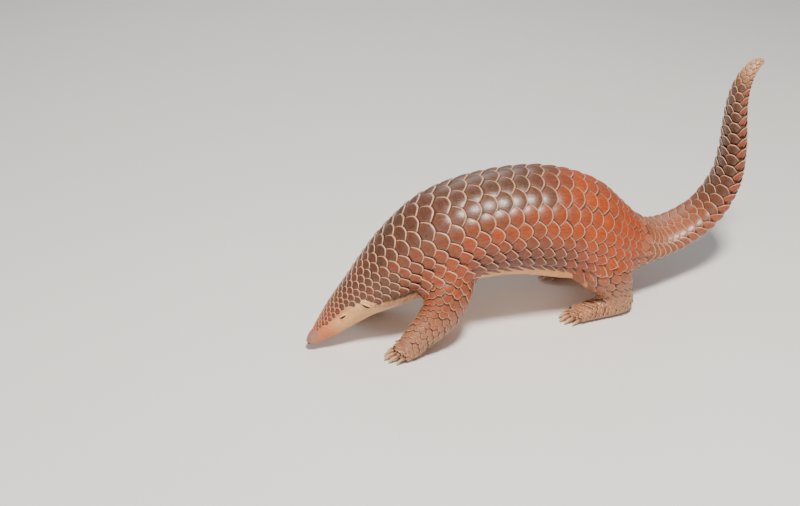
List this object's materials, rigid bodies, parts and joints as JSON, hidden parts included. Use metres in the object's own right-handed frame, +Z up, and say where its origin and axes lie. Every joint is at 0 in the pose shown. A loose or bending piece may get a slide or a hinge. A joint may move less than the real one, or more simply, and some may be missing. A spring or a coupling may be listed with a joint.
{
  "type": "pangolin",
  "caption": "Life-size still model of a standing pangolin with lowered head, arched scaly back and raised tail.",
  "frame": {"origin": "on the floor, under the middle of the bounding box", "axes": "-X towards the head, -Y towards the left flank, +Z up"},
  "size_m": [0.6539, 0.1643, 0.3153],
  "materials": {
    "back_scale": "worn glossy horn, dark brown",
    "leg_scale": "worn glossy horn, reddish brown",
    "tail_scale": "worn satin horn, tan brown",
    "face_skin": "matt bare skin, pale tan",
    "foot_skin": "matt dusty skin",
    "claw": "satin horn",
    "eye": "wet gloss, near black"
  },
  "bodies": {
    "root": {"head": "face_skin", "neck": "back_scale", "trunk": "back_scale", "tail_base": "tail_scale", "tail_middle": "tail_scale", "tail_end": "tail_scale", "foreleg_left": "leg_scale", "forefoot_left": "foot_skin", "foreclaw_left_1": "claw", "foreclaw_left_2": "claw", "foreclaw_left_3": "claw", "foreclaw_left_4": "claw", "foreclaw_left_5": "claw", "hindleg_left": "leg_scale", "hindfoot_left": "foot_skin", "hindclaw_left_1": "claw", "hindclaw_left_2": "claw", "hindclaw_left_3": "claw", "hindclaw_left_4": "claw", "hindclaw_left_5": "claw", "eye_left": "eye", "ear_left": "face_skin", "foreleg_right": "leg_scale", "forefoot_right": "foot_skin", "foreclaw_right_1": "claw", "foreclaw_right_2": "claw", "foreclaw_right_3": "claw", "foreclaw_right_4": "claw", "foreclaw_right_5": "claw", "hindleg_right": "leg_scale", "hindfoot_right": "foot_skin", "hindclaw_right_1": "claw", "hindclaw_right_2": "claw", "hindclaw_right_3": "claw", "hindclaw_right_4": "claw", "hindclaw_right_5": "claw", "eye_right": "eye", "ear_right": "face_skin"}
  },
  "joints": []
}
